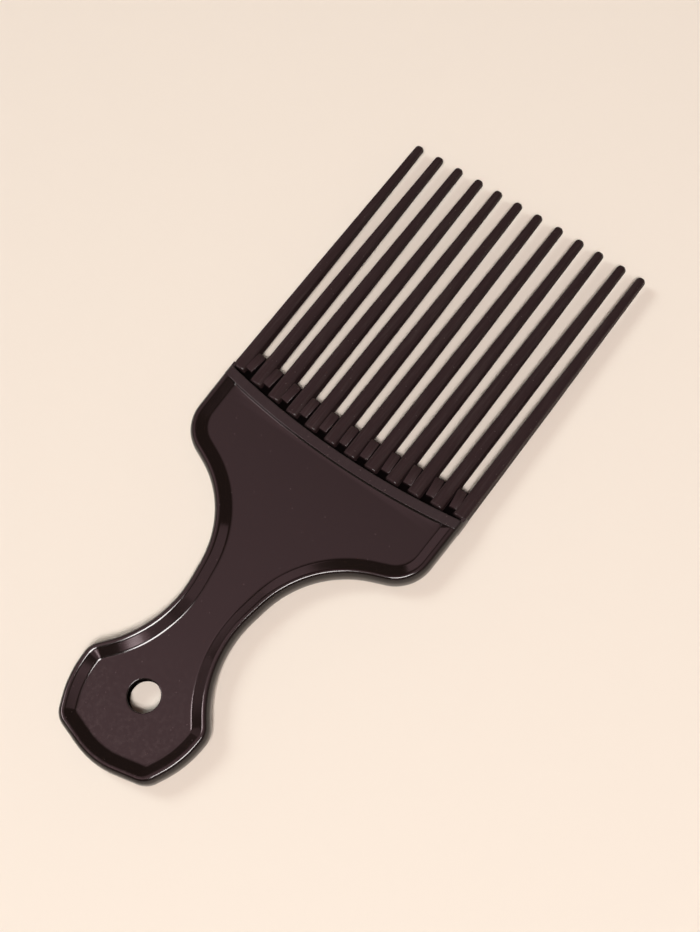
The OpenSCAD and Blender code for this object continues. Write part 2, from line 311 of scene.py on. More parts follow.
# %% [markdown]
# ## Materials
#
# Both finishes are the same black plastic. The mould was polished for the handle and left with a fine spark
# grain for the bar and the teeth. Each could be painted with an image, but an image shows its pixels in a
# close view. So one group of nodes gives the relief, the flecks, the dust and pale streaks of painted sheen
# along the teeth, and each finish sets its own values. The base colour is nearly black with a little brown in
# it: the mauve cast of the picture is the room's.

# %% Grain, flecks and smudges of moulded plastic
WAVES_SCALE = 90.0
FLECKS_SCALE = 900.0
FLECK_REACH = 0.13
SMUDGE_SCALE = 60.0


def new_group(name, kind, inputs, outputs):
    """An empty node group with named inputs as (name, type, value) and named outputs as (name, type)."""
    tree = bpy.data.node_groups.new(name, kind)
    for title, socket_type, value in inputs:
        socket = tree.interface.new_socket(title, in_out="INPUT", socket_type=socket_type)
        if value is not None:
            socket.default_value = value
    for title, socket_type in outputs:
        tree.interface.new_socket(title, in_out="OUTPUT", socket_type=socket_type)
    return tree, tree.nodes.new("NodeGroupInput"), tree.nodes.new("NodeGroupOutput")


def noise(tree, where, scale, detail, roughness):
    """The value of a Noise Texture."""
    return wire(tree, "ShaderNodeTexNoise", where, None, scale, detail, roughness).outputs[0]


skin, skin_in, skin_out = new_group(
    "moulded_skin", "ShaderNodeTree",
    [("Grain Size", "NodeSocketFloat", 0.2), ("Grain", "NodeSocketFloat", 0.2),
     ("Waves", "NodeSocketFloat", 0.5), ("Fleck Share", "NodeSocketFloat", 0.1),
     ("Haze Top", "NodeSocketFloat", -0.05), ("Haze Foot", "NodeSocketFloat", -0.085)],
    [(title, "NodeSocketFloat") for title in ("Height", "Flecks", "Smudge", "Haze", "Streaks")])
spot = wire(skin, "ShaderNodeTexCoord").outputs["Object"]
grain_scale = calc(skin, "DIVIDE", 1 / MM, skin_in.outputs["Grain Size"])
grain = noise(skin, spot, grain_scale, detail=3.0, roughness=0.6)
waves = noise(skin, spot, WAVES_SCALE, detail=1.0, roughness=0.4)
relief = calc(skin, "ADD", calc(skin, "MULTIPLY", grain, skin_in.outputs["Grain"]),
              calc(skin, "MULTIPLY", waves, skin_in.outputs["Waves"]))
connect(skin, relief, skin_out.inputs["Height"])
cells = wire(skin, "ShaderNodeTexVoronoi", spot, None, FLECKS_SCALE)
near_middle = calc(skin, "LESS_THAN", cells.outputs["Distance"], FLECK_REACH)
draw = wire(skin, "ShaderNodeSeparateColor", cells.outputs["Color"]).outputs[0]
chosen = calc(skin, "LESS_THAN", draw, skin_in.outputs["Fleck Share"])
connect(skin, calc(skin, "MULTIPLY", near_middle, chosen), skin_out.inputs["Flecks"])
smudge = noise(skin, spot, SMUDGE_SCALE, detail=4.0, roughness=0.6)
connect(skin, smudge, skin_out.inputs["Smudge"])
print(skin.name, "has", len(skin.nodes), "nodes so far")

# %% Dust on the handle's foot and painted sheen streaks along the teeth
DUST_SCALE = 900.0
DUST_RANGE = (0.45, 0.75)
PATCH_RANGE = (0.35, 0.7)
THINNEST_PATCH = 0.2
LEVEL_RANGE = (0.95, 0.99)
HAZE_CURVE = 1.5
SHEEN_STREAK_SCALE = 1300.0
SHEEN_STREAK_RANGE = (0.48, 0.72)
ALONG_TEETH = (1.0, 0.07, 1.0)

dust = remap(skin, noise(skin, spot, DUST_SCALE, detail=3.0, roughness=0.7), *DUST_RANGE)
patches = remap(skin, smudge, *PATCH_RANGE, to_low=THINNEST_PATCH)
up_pick = wire(skin, "ShaderNodeSeparateXYZ", spot).outputs[1]
near_foot = remap(skin, up_pick, skin_in.outputs["Haze Top"], skin_in.outputs["Haze Foot"])
normal = wire(skin, "ShaderNodeTexCoord").outputs["Normal"]
level = remap(skin, wire(skin, "ShaderNodeSeparateXYZ", normal).outputs[2], *LEVEL_RANGE)
haze = calc(skin, "MULTIPLY", calc(skin, "MULTIPLY", dust, patches),
            calc(skin, "MULTIPLY", level, calc(skin, "POWER", near_foot, HAZE_CURVE)))
connect(skin, haze, skin_out.inputs["Haze"])
# Pale streaks along the teeth are painted sheen: they stand in for the thin highlights along the creases of
# the teeth and the middle of the webs.
stretched = wire(skin, "ShaderNodeVectorMath", spot, ALONG_TEETH, operation="MULTIPLY").outputs[0]
sheen_streaks = remap(skin, noise(skin, stretched, SHEEN_STREAK_SCALE, detail=3.0, roughness=0.65), *SHEEN_STREAK_RANGE)
connect(skin, sheen_streaks, skin_out.inputs["Streaks"])
print(skin.name, "has", len(skin.nodes), "nodes")

# %% The finishes
DUST = (0.16, 0.125, 0.12, 1)
GLOSS_PALE = (0.05, 0.035, 0.035, 1)
SATIN_PALE = (0.06, 0.045, 0.042, 1)
SMUDGE_RANGE = (0.3, 0.7)
MIX_SOCKETS = {"VECTOR": (4, 5, 1), "RGBA": (6, 7, 2)}


def mix(tree, kind, factor, a, b):
    """The result of a Mix node, whose data types each have their own sockets in one list."""
    node = wire(tree, "ShaderNodeMix", factor, data_type=kind)
    first, second, result = MIX_SOCKETS[kind]
    connect(tree, a, node.inputs[first])
    connect(tree, b, node.inputs[second])
    return node.outputs[result]


def plastic(name, colour, pale, grain_size, grain, waves, flecks, rough, rough_spread=0.03, specular=0.5,
            haze=0.0, sheen_streaks=0.0):
    """Black plastic: pale flecks and painted sheen streaks, dust haze at the foot, rougher where smudged."""
    material, tree, shader = new_material(name)
    shader.inputs["Specular IOR Level"].default_value = specular
    marks = wire(tree, "ShaderNodeGroup", node_tree=skin)
    for title, value in (("Grain Size", grain_size), ("Grain", grain), ("Waves", waves),
                         ("Fleck Share", flecks)):
        marks.inputs[title].default_value = value
    layers = mix(tree, "RGBA", calc(tree, "MULTIPLY", marks.outputs["Haze"], haze), colour, DUST)
    # The streaks lay painted sheen into the base colour.
    layers = mix(tree, "RGBA", calc(tree, "MULTIPLY", marks.outputs["Streaks"], sheen_streaks), layers, pale)
    layers = mix(tree, "RGBA", marks.outputs["Flecks"], layers, pale)
    connect(tree, layers, shader.inputs["Base Color"])
    roughness = remap(tree, marks.outputs["Smudge"], *SMUDGE_RANGE,
                      to_low=rough - rough_spread, to_high=rough + rough_spread)
    connect(tree, roughness, shader.inputs["Roughness"])
    bump = wire(tree, "ShaderNodeBump")
    bump.inputs["Strength"].default_value = 1.0
    bump.inputs["Distance"].default_value = MM
    connect(tree, marks.outputs["Height"], bump.inputs["Height"])
    connect(tree, bump.outputs[0], shader.inputs["Normal"])
    return material


gloss = plastic("glossy_black", (0.008, 0.0045, 0.004, 1), GLOSS_PALE, grain_size=0.15, grain=0.0006,
                waves=0.03, flecks=0.08, rough=0.10, haze=0.35)
# Both satins carry pale streaks of painted sheen.
satin = plastic("satin_black", (0.012, 0.008, 0.008, 1), SATIN_PALE, grain_size=0.12, grain=0.008,
                waves=0.02, flecks=0.25, rough=0.22, sheen_streaks=0.12)
# A copy of the satin for the teeth and the webs, with a lighter base colour and weaker reflection: the
# lighter colour is painted light on the same plastic as the bar.
painted_lit_satin = plastic("painted_lit_satin_black", (0.026, 0.0148, 0.0153, 1), SATIN_PALE, grain_size=0.12,
                      grain=0.008, waves=0.02, flecks=0.25, rough=0.22, specular=0.2, sheen_streaks=0.3)
# A black with no reflection at all, for the floor of the pockets and the wall of the hole: painted shade, as
# if those recesses lay deep in shadow.
shade_black = plastic("painted_shade_black", (0.003, 0.002, 0.002, 1), SATIN_PALE, grain_size=0.12, grain=0.008,
                 waves=0.02, flecks=0.05, rough=0.3, specular=0.0)
print("finishes:", gloss.name, satin.name, painted_lit_satin.name, shade_black.name)

# %% [markdown]
# ## Handle
#
# The handle is one plate with a thick rounded rim. Its outline is a chain of corners, each with its own
# radius, and every edge of the rim runs parallel to it. So the surface can be drawn like a ship's hull: one
# profile, from the side wall over the crest and down the bevel to the panel, carried round the outline as
# rings of points. A boolean cut would be quicker to write, but its long thin faces would break up the
# reflections.

# %% Corners of the handle
END_RADIUS = 22.0
END_SLOPE = radians(15)
FOOT_HALF, FOOT_RADIUS = 13.5, 5.5
SHOULDER_DRAW = 0.45
end_up = END_RADIUS * (1 - 1 / cos(END_SLOPE))
head_up = arc_up(BAR_LOW + BAR_WIDTH, BAR_ARC - BAR_WIDTH, HEAD_HALF)

# Each row gives the distance from the centre line, the height and the radius
right_corners = [
    (FOOT_HALF, end_up + FOOT_HALF * tan(END_SLOPE), FOOT_RADIUS),
    (18.0, 11.9, 26.0),  # side of the grip
    (18.3, 20.5, 6.0),  # hip
    (7.05, 34.1, 29.0),  # lower waist
    (12.2, 65.4, 26.5),  # upper waist
    (HEAD_HALF - SHOULDER_DRAW, 75.1, 10.6),  # shoulder
    (HEAD_HALF, head_up, 0.0),
]
left_corners = [(-x, up, radius) for x, up, radius in reversed(right_corners)]
corners = left_corners + [(0.0, end_up, END_RADIUS)] + right_corners
print("handle has", len(corners), "corners and is", round(head_up - end_up, 2), "mm long")

# %% Outline of the handle
ARC_STEP = radians(3)
SIDE_STEPS = 6
SEARCH_STEPS = 20
FILLET = 0.3
# Rows of the fillet between the panel and the bar, measured down from the bar
FILLET_ROWS = (0.3, 0.2, 0.1, 0.03, 0.0)


def direction(a, b):
    """The unit vector from a to b."""
    length = hypot(b[0] - a[0], b[1] - a[1])
    return ((b[0] - a[0]) / length, (b[1] - a[1]) / length)


def turned(point, centre, angle):
    """A point turned about a centre."""
    dx, dy = point[0] - centre[0], point[1] - centre[1]
    return (centre[0] + dx * cos(angle) - dy * sin(angle), centre[1] + dx * sin(angle) + dy * cos(angle))


def side_points(shoulder, top):
    """Points up the straight side of the head, from the shoulder to the lower arc of the bar."""
    (x0, y0), (x1, y1) = shoulder, top
    share = 1.0
    for _ in range(SEARCH_STEPS):
        x = x0 + (x1 - x0) * share
        share = (arc_up(BAR_LOW, BAR_ARC, x) - y0) / (y1 - y0)
    length = (y1 - y0) * share
    ups = [(length - FILLET) * k / SIDE_STEPS for k in range(1, SIDE_STEPS + 1)]
    ups += [length - row for row in FILLET_ROWS[1:]]
    return [(x0 + (x1 - x0) * up / (y1 - y0), y0 + up) for up in ups]


def moved_in(inset):
    """The corners of the outline drawn inset from the real one."""
    moved = []
    for i, (x, up, radius) in enumerate(corners):
        before = direction(corners[i - 1], corners[i]) if i else None
        after = direction(corners[i], corners[i + 1]) if i < len(corners) - 1 else None
        a = before or after
        b = after or before
        dot = a[0] * b[0] + a[1] * b[1]
        moved.append((x + inset * (-a[1] - b[1]) / (1 + dot), up + inset * (a[0] + b[0]) / (1 + dot)))
    return moved


def outline(inset):
    """The open outline, drawn inset, from the bar down the left side and up the right side."""
    points = []
    moved = moved_in(inset)
    for i in range(1, len(corners) - 1):
        u = direction(corners[i - 1], corners[i])
        v = direction(corners[i], corners[i + 1])
        turn = atan2(u[0] * v[1] - u[1] * v[0], u[0] * v[0] + u[1] * v[1])
        sign = 1 if turn > 0 else -1
        radius = corners[i][2] - sign * inset
        reach = radius * tan(abs(turn) / 2)
        start = (moved[i][0] - u[0] * reach, moved[i][1] - u[1] * reach)
        centre = (start[0] - sign * u[1] * radius, start[1] + sign * u[0] * radius)
        steps = ceil(abs(turn) / ARC_STEP)
        points += [turned(start, centre, turn * k / steps) for k in range(steps + 1)]
    right = side_points(points[-1], moved[-1])
    left = [(-x, up) for x, up in reversed(right)]
    return left + points + right


outer_line = outline(0)
waist_up = right_corners[3][1]
grip = max(x for x, up in outer_line if up < waist_up)
print("outline has", len(outer_line), "points; grip is", round(2 * grip, 2), "mm wide")

# %% Profile of the rim
EDGE = 1.2
EDGE_FALL = 2.15
EDGE_ANGLES = [radians(a) for a in range(0, 91, 10)]
DRAFT = 0.05
CREST = 0.75
BEVEL_FOOT = 0.8
ROUND_STEPS = 5
BEVEL_SHARES = (0.04, 0.5, 0.96)
LIP = 0.1
TILT = radians(25)
DROP = (PICK_THICKNESS - PANEL_THICKNESS) / 2


def rim_profile():
    """The rim as (inset, z) pairs, from the parting plane over the crest and down the bevel to the panel."""
    pairs = [(0.0, 0.0)]
    pairs += [(DRAFT + EDGE * (1 - cos(a)), HALF - EDGE_FALL * (1 - sin(a))) for a in EDGE_ANGLES]
    crest_radius = CREST / sin(TILT)
    start = pairs[-1]
    for k in range(1, ROUND_STEPS + 1):
        a = TILT * k / ROUND_STEPS
        pairs.append((start[0] + crest_radius * sin(a), start[1] - crest_radius * (1 - cos(a))))
    straight = (DROP - (CREST + BEVEL_FOOT) * tan(TILT / 2)) / tan(TILT)
    top = pairs[-1]
    for share in BEVEL_SHARES:
        pairs.append((top[0] + straight * share, top[1] - straight * share * tan(TILT)))
    foot = (top[0] + straight, top[1] - straight * tan(TILT))
    foot_radius = BEVEL_FOOT / sin(TILT)
    for k in range(ROUND_STEPS + 1):
        a = TILT * (1 - k / ROUND_STEPS)
        pairs.append((foot[0] + foot_radius * (sin(TILT) - sin(a)),
                      foot[1] - foot_radius * (cos(a) - cos(TILT))))
    pairs.append((pairs[-1][0] + LIP, pairs[-1][1]))
    return pairs


profile = rim_profile()
rim_end, rim_end_z = profile[-1]
print("rim has", len(profile), "rings and ends", round(rim_end, 2), "mm in, at z", round(rim_end_z, 3))

# %% Rim of the upper half
# The lists half_points and half_faces grow over the next cells: the handle above its middle plane.
rim_rings = [outline(inset) for inset, z in profile]
ring_size = len(rim_rings[0])
half_points = [(x, up, z) for ring, (inset, z) in zip(rim_rings, profile) for x, up in ring]
half_faces = [(k * ring_size + i, k * ring_size + i + 1, (k + 1) * ring_size + i + 1, (k + 1) * ring_size + i)
              for k in range(len(rim_rings) - 1) for i in range(ring_size - 1)]
panel_start = (len(rim_rings) - 1) * ring_size
print("rim:", len(half_points), "points")

# %% Step below the bar
# The panel rises to the bar in a small fillet, drawn in rows from the panel up. It fades out at the bevels.
ARC_STATIONS = 64
FILLET_FADE = 1.5
step_rows = []
for row_index, below in enumerate(FILLET_ROWS):
    first = panel_start + len(FILLET_ROWS) - 1 - row_index
    last = panel_start + ring_size - len(FILLET_ROWS) + row_index
    rise = FILLET - sqrt(FILLET ** 2 - (FILLET - below) ** 2)
    first_x, last_x = half_points[first][0], half_points[last][0]
    step_row = [first]
    for j in range(1, ARC_STATIONS):
        x = first_x + (last_x - first_x) * j / ARC_STATIONS
        fade = min(1.0, (last_x - abs(x)) / FILLET_FADE)
        step_row.append(len(half_points))
        half_points.append((x, arc_up(BAR_LOW, BAR_ARC, x) - below, PANEL_THICKNESS / 2 + rise * fade))
    step_rows.append(step_row + [last])
for low_row, high_row in zip(step_rows, step_rows[1:]):
    half_faces += [(low_row[j], low_row[j + 1], high_row[j + 1], high_row[j]) for j in range(ARC_STATIONS)]
print("step below the bar:", len(step_rows), "rows")

# %% Face towards the bar
cut_edge = [k * ring_size for k in range(len(rim_rings))] + step_rows[-1][1:-1]
cut_edge += [(k + 1) * ring_size - 1 for k in range(len(rim_rings) - 1, -1, -1)]
cut_floor = [len(half_points) + i for i in range(len(cut_edge))]
half_points += [(half_points[i][0], half_points[i][1], 0.0) for i in cut_edge]
half_faces += [(cut_edge[i], cut_edge[i + 1], cut_floor[i + 1], cut_floor[i])
               for i in range(len(cut_edge) - 1)]
print("face towards the bar:", len(cut_edge), "points")

# %% Hanging hole
HOLE_ROUND = 0.3
HOLE_LAND = 0.15
HOLE_STEPS = 72
HOLE_ANGLES = [radians(a) for a in range(0, 91, 18)]
hole_profile = [(HOLE_RADIUS + HOLE_ROUND + HOLE_LAND, 0.0)]
hole_profile += [(HOLE_RADIUS + HOLE_ROUND * (1 - sin(a)), HOLE_ROUND * (1 - cos(a))) for a in HOLE_ANGLES]
hole_profile.append((HOLE_RADIUS, PANEL_THICKNESS / 2))
hole_circles = []
for radius, below in hole_profile:
    hole_circles.append([len(half_points) + i for i in range(HOLE_STEPS)])
    half_points += [(radius * cos(a), HOLE_UP + radius * sin(a), PANEL_THICKNESS / 2 - below)
                    for a in (2 * pi * i / HOLE_STEPS for i in range(HOLE_STEPS))]
for inner, outer in zip(hole_circles[1:], hole_circles):
    half_faces += [(outer[i], outer[(i + 1) % HOLE_STEPS], inner[(i + 1) % HOLE_STEPS], inner[i])
                   for i in range(HOLE_STEPS)]
print("hole:", len(hole_circles), "circles")

# %% Panel
panel_border = list(range(panel_start + len(FILLET_ROWS) - 1, panel_start + ring_size - len(FILLET_ROWS) + 1))
panel_border += step_rows[0][-2:0:-1]
flat_loops = [[Vector((half_points[i][0], half_points[i][1], 0)) for i in loop]
              for loop in (panel_border, hole_circles[0])]
panel_index = panel_border + hole_circles[0]
panel_faces = [tuple(panel_index[i] for i in triangle)
               for triangle in geometry.tessellate_polygon(flat_loops)]
half_faces += panel_faces
print("panel:", len(panel_faces), "triangles")

# %% Handle
SHARP = radians(40)
MERGE = 0.002 * MM
SLIVER = 0.0005 * MM
WALL_MARGIN = 0.02


def moulding(name, points, faces, material):
    """A closed piece with its normals outwards, smooth but for its sharp edges."""
    mesh = bpy.data.meshes.new(name)
    mesh.from_pydata(points, [], faces)
    shape = bmesh.new()
    shape.from_mesh(mesh)
    bmesh.ops.remove_doubles(shape, verts=shape.verts, dist=MERGE)
    bmesh.ops.dissolve_degenerate(shape, edges=shape.edges, dist=SLIVER)
    bmesh.ops.recalc_face_normals(shape, faces=shape.faces)
    open_edges = sum(1 for e in shape.edges if not e.is_manifold)
    shape.to_mesh(mesh)
    shape.free()
    mesh.materials.append(material)
    mesh.shade_smooth()
    mesh.set_sharp_from_angle(angle=SHARP)
    print(name, len(mesh.vertices), "vertices,", open_edges, "open edges")
    return add_object(name, mesh)


handle_points = [place(x, up, side * z) for side in (1, -1) for x, up, z in half_points]
handle_faces = half_faces + [tuple(len(half_points) + i for i in reversed(face)) for face in half_faces]
handle = moulding("handle_moulding", handle_points, handle_faces, gloss)
# The wall of the hole takes the black without reflection: painted shade.
handle.data.materials.append(shade_black)
hole_centre = place(0, HOLE_UP, 0)
hole_wall = [face for face in handle.data.polygons
             if (face.center - hole_centre).xy.length < (HOLE_RADIUS + WALL_MARGIN) * MM]
for face in hole_wall:
    face.material_index = 1
print("wall of the hole:", len(hole_wall), "faces")

# %% [markdown]
# ## Bar
#
# The bar is a narrow raised strip that follows a wide arc across the head, with small rounded edges. At
# both ends it takes the rounding of the rim, so that rim, bar and outer tooth read as one side wall. It
# could be cut from a bent box, but the ends would need a second tool. So its section is carried from one
# side of the head to the other, and the same profile that shaped the rim sets how tall it is near the ends.
# Two short heels beyond it close the ends of the groove, and a thin plate behind the pockets carries the
# webs and the teeth.

# %% Edges that run across the head
HEEL_OVERLAP = 0.5
PLATE_TUCK = 0.4
PLATE_SHORT = 0.08
ROOT_LINE = BAR_LOW + BAR_WIDTH + GROOVE


def bar_low(x):
    """Lower edge of the bar."""
    return arc_up(BAR_LOW, BAR_ARC, x)


def bar_top(x):
    """Upper edge of the bar."""
    return arc_up(BAR_LOW + BAR_WIDTH, BAR_ARC - BAR_WIDTH, x)


def root_up(x):
    """The line on which the teeth begin."""
    return arc_up(ROOT_LINE, BAR_ARC - BAR_WIDTH - GROOVE, x)


def heel_top(x):
    """Upper edge of a heel, inside the outer tooth."""
    return root_up(x) + HEEL_OVERLAP


def plate_low(x):
    """Lower edge of the plate, inside the bar."""
    return bar_top(x) - PLATE_TUCK


def plate_top(x):
    """Upper edge of the plate, just short of the bottoms of the slots."""
    return arc_up(SLOT_LOW, SLOT_ARC, x) - PLATE_SHORT


print("bar is", round(bar_top(0) - bar_low(0), 2), "mm wide; teeth begin", round(root_up(0), 2), "mm up")

# %% Bar, heels and plate
BAR_ROUND = 0.18
THIN_ROUND = 0.05
ROUND_LAND = 0.05
BAR_STATIONS = 90
STRIP_ANGLES = [radians(a) for a in (0, 22.5, 45, 67.5, 90)]


def strip(stations, low, top, rounding):
    """Points and faces of a strip across the head between two edges. A station is (x, half height)."""
    points = []
    for x, tall in stations:
        r = min(rounding, tall)
        y0, y1 = low(x), top(x)
        edge = [(y0 + r * (1 - cos(a)), tall - r * (1 - sin(a))) for a in STRIP_ANGLES]
        edge.append((y0 + r + ROUND_LAND, tall))
        edge += [(y0 + y1 - y, z) for y, z in reversed(edge)]
        section = edge + [(y, -z) for y, z in reversed(edge)]
        points += [place(x, y, z) for y, z in section]
    n = len(points) // len(stations)
    faces = [(k * n + i, k * n + (i + 1) % n, (k + 1) * n + (i + 1) % n, (k + 1) * n + i)
             for k in range(len(stations) - 1) for i in range(n)]
    faces += [tuple(range(n)), tuple((len(stations) - 1) * n + i for i in range(n))]
    return points, faces


def joined(*solids):
    """The points and faces of several closed solids in one list."""
    points, faces = [], []
    for some_points, some_faces in solids:
        faces += [tuple(i + len(points) for i in face) for face in some_faces]
        points += some_points
    return points, faces


right_end = [(HEAD_HALF - inset, z) for inset, z in profile[:len(EDGE_ANGLES) + 1]]
left_end = [(-x, z) for x, z in reversed(right_end)]
flat_half = right_end[-1][0]
middle = [(flat_half - 2 * flat_half * k / BAR_STATIONS, HALF) for k in range(1, BAR_STATIONS)]
right_heel = [(x, min(z, ROOT_THICKNESS / 2)) for x, z in right_end]
left_heel = [(-x, z) for x, z in right_heel]
bar = moulding("bar_strip", *joined(strip(right_end + middle + left_end, bar_low, bar_top, BAR_ROUND),
                                    strip(right_heel, bar_top, heel_top, THIN_ROUND),
                                    strip(left_heel, bar_top, heel_top, THIN_ROUND)), satin)
plate_stations = [(OUTER_TOOTH * (1 - 2 * k / BAR_STATIONS), PLATE_THICKNESS / 2)
                  for k in range(BAR_STATIONS + 1)]
# The plate, which floors the pockets, takes the black without reflection: painted shade in the pockets.
plate = moulding("web_plate", *strip(plate_stations, plate_low, plate_top, THIN_ROUND), shade_black)

# %% [markdown]
# ## Webs
#
# A web closes the bottom of each slot between two teeth. All eleven are the same small block, set along an
# arc and turned with it. They could be copied by hand, but that is a job for Geometry Nodes: a line of
# points, moved onto the arc by a formula, and one block placed on every point. The sizes are inputs of the
# tree, so another comb could use it.

# %% Block of one web
WEB_FACE = 1.25
WEB_BELLY = 0.83
WEB_BAND = 0.2
WEB_LOW = BAR_LOW + BAR_WIDTH + POCKET
WEB_LENGTH = SLOT_LOW - WEB_LOW
MOUTH_ROUND = 0.7
WEB_ROUND = 0.25
WEB_SEGMENTS = 4
WEB_SHARP = radians(60)
NEAR_SLOT = 0.1


def rises_less(edge, most):
    """Whether the ends of an edge differ in height by less than that."""
    return abs(edge.verts[0].co.z - edge.verts[1].co.z) < most * MM


def clear_of_middle(edge, least):
    """Whether an edge lies further than that from the middle plane."""
    return min(abs(v.co.z) for v in edge.verts) > least * MM


def round_edges(edges, radius):
    """Rounds edges of the block. A profile of a half is a part of a circle."""
    bmesh.ops.bevel(block, geom=edges, offset=radius * MM, segments=WEB_SEGMENTS, affect="EDGES", profile=0.5)


web_section = [(WEB_FACE, WEB_THICKNESS / 2), (WEB_BELLY, WEB_BAND)]
web_section += [(x, -z) for x, z in reversed(web_section)]
web_section += [(-x, -z) for x, z in web_section]
block = bmesh.new()
slot_end, pocket_end = [[block.verts.new(Vector((x, up, z)) * MM) for x, z in web_section]
                        for up in (0, -WEB_LENGTH)]
for i in range(len(web_section)):
    j = (i + 1) % len(web_section)
    block.faces.new((slot_end[i], slot_end[j], pocket_end[j], pocket_end[i]))
for end in (slot_end, pocket_end):
    for quad in ((0, 1, 6, 7), (1, 2, 5, 6), (2, 3, 4, 5)):
        block.faces.new([end[i] for i in quad])
bmesh.ops.recalc_face_normals(block, faces=block.faces)
# First the edge at the slot on the front and on the back, then what is still sharp on both
round_edges([e for e in block.edges if all(v.co.y > -NEAR_SLOT * MM for v in e.verts)
             and rises_less(e, most=0.1) and clear_of_middle(e, least=1)], MOUTH_ROUND)
round_edges([e for e in block.edges if rises_less(e, most=0.9) and clear_of_middle(e, least=0.8)
             and e.calc_face_angle(0) > WEB_SHARP], WEB_ROUND)
web_mesh = bpy.data.meshes.new("web_block")
block.to_mesh(web_mesh)
block.free()
print("web block", len(web_mesh.vertices), "vertices")

# %% Tree that sets blocks along an arc
row, row_in, row_out = new_group(
    "blocks_on_arc", "GeometryNodeTree",
    [("Block", "NodeSocketGeometry", None), ("Count", "NodeSocketInt", 2), ("Pitch", "NodeSocketFloat", 0.01),
     ("Arc Low", "NodeSocketFloat", 0.0), ("Arc Radius", "NodeSocketFloat", 1.0),
     ("Back Low", "NodeSocketFloat", 0.0), ("Back Radius", "NodeSocketFloat", 1.0),
     ("Block Length", "NodeSocketFloat", 0.01), ("Middle Height", "NodeSocketFloat", 0.0),
     ("Finish", "NodeSocketMaterial", None)],
    [("Blocks", "NodeSocketGeometry")])


def arc_nodes(low, radius, x):
    """The arc_up formula in math nodes."""
    inside = calc(row, "SUBTRACT", calc(row, "MULTIPLY", radius, radius), calc(row, "MULTIPLY", x, x))
    return calc(row, "SUBTRACT", calc(row, "ADD", low, radius), calc(row, "SQRT", inside))


row_feed = {socket.name: socket for socket in row_in.outputs}
row_width = calc(row, "MULTIPLY", row_feed["Pitch"], calc(row, "SUBTRACT", row_feed["Count"], 1.0))
start = wire(row, "ShaderNodeCombineXYZ", calc(row, "MULTIPLY", row_width, -0.5)).outputs[0]
step = wire(row, "ShaderNodeCombineXYZ", row_feed["Pitch"]).outputs[0]
line = wire(row, "GeometryNodeMeshLine", row_feed["Count"], None, start, step)
across = wire(row, "ShaderNodeSeparateXYZ", wire(row, "GeometryNodeInputPosition").outputs[0]).outputs[0]
front = arc_nodes(row_feed["Arc Low"], row_feed["Arc Radius"], across)
back = arc_nodes(row_feed["Back Low"], row_feed["Back Radius"], across)
on_arc = wire(row, "ShaderNodeCombineXYZ", across, front, row_feed["Middle Height"]).outputs[0]
moved = wire(row, "GeometryNodeSetPosition", line.outputs[0], None, on_arc)
turn = calc(row, "ARCSINE", calc(row, "DIVIDE", across, row_feed["Arc Radius"]))
stretch = calc(row, "DIVIDE", calc(row, "SUBTRACT", front, back), row_feed["Block Length"])
placed = wire(row, "GeometryNodeInstanceOnPoints", moved.outputs[0], None, row_feed["Block"])
connect(row, wire(row, "ShaderNodeCombineXYZ", 0.0, 0.0, turn).outputs[0], placed.inputs["Rotation"])
connect(row, wire(row, "ShaderNodeCombineXYZ", 1.0, stretch, 1.0).outputs[0], placed.inputs["Scale"])
whole_row = wire(row, "GeometryNodeRealizeInstances", placed.outputs[0])
row_finish = wire(row, "GeometryNodeSetMaterial", whole_row.outputs[0], None, row_feed["Finish"])
connect(row, row_finish.outputs[0], row_out.inputs[0])
print(row.name, "has", len(row.nodes), "nodes")

# %% Eleven webs
def grown(name, base, tree, values):
    """The plain piece that a Geometry Nodes tree makes from a base mesh and named values."""
    source = add_object(name + "_source", base)
    modifier = source.modifiers.new(tree.name, "NODES")
    modifier.node_group = tree
    keys = {item.name: item.identifier for item in tree.interface.items_tree if item.in_out == "INPUT"}
    for title, value in values.items():
        modifier[keys[title]] = value
    evaluated = source.evaluated_get(bpy.context.evaluated_depsgraph_get())
    mesh = bpy.data.meshes.new_from_object(evaluated)
    mesh.name = name
    # The base mesh can leave an empty slot before the finish
    if mesh.materials and mesh.materials[0] is None:
        mesh.materials.pop(index=0)
    source.modifiers.remove(modifier)
    bpy.data.objects.remove(source)
    mesh.shade_smooth()
    mesh.set_sharp_from_angle(angle=SHARP)
    return add_object(name, mesh)


webs = grown("slot_webs", web_mesh, row, {
    "Count": TEETH - 1, "Pitch": ROOT_PITCH * MM,
    "Arc Low": place(0, SLOT_LOW, 0).y, "Arc Radius": SLOT_ARC * MM,
    "Back Low": place(0, WEB_LOW, 0).y, "Back Radius": (BAR_ARC - BAR_WIDTH - POCKET) * MM,
    "Block Length": WEB_LENGTH * MM, "Middle Height": HALF * MM, "Finish": painted_lit_satin})
print("webs:", len(webs.data.vertices), "vertices, finish", webs.data.materials[0].name)

# %% [markdown]
# ## Teeth
#
# A tooth is a long rounded bar that gets narrower and thinner towards its tip. Its front and back carry a
# narrow flat between sloping shoulders, and it is widest across its belly, where the two halves of the
# mould met. A scaled box would taper evenly, and a real tooth doesn't. So it is drawn as three sections,
# root, middle and tip, and a tree sweeps from one to the next, rounds both ends and leans the tip. One tree
# makes all twelve teeth, each from its own place, height and lean.

# %% Sections of a tooth
MID_SHARE = 0.45
# Corners of a quarter of the section, as shares of its half width and half thickness
QUARTER_SHARES = [(0.35, 1.0), (0.75, 0.9), (1.0, 0.1)]
ROOT_FILLET, MID_FILLET, TIP_FILLET = 0.5, 0.4, 0.2
FILLET_STEPS = 3
BESIDE_SHARE = 0.3


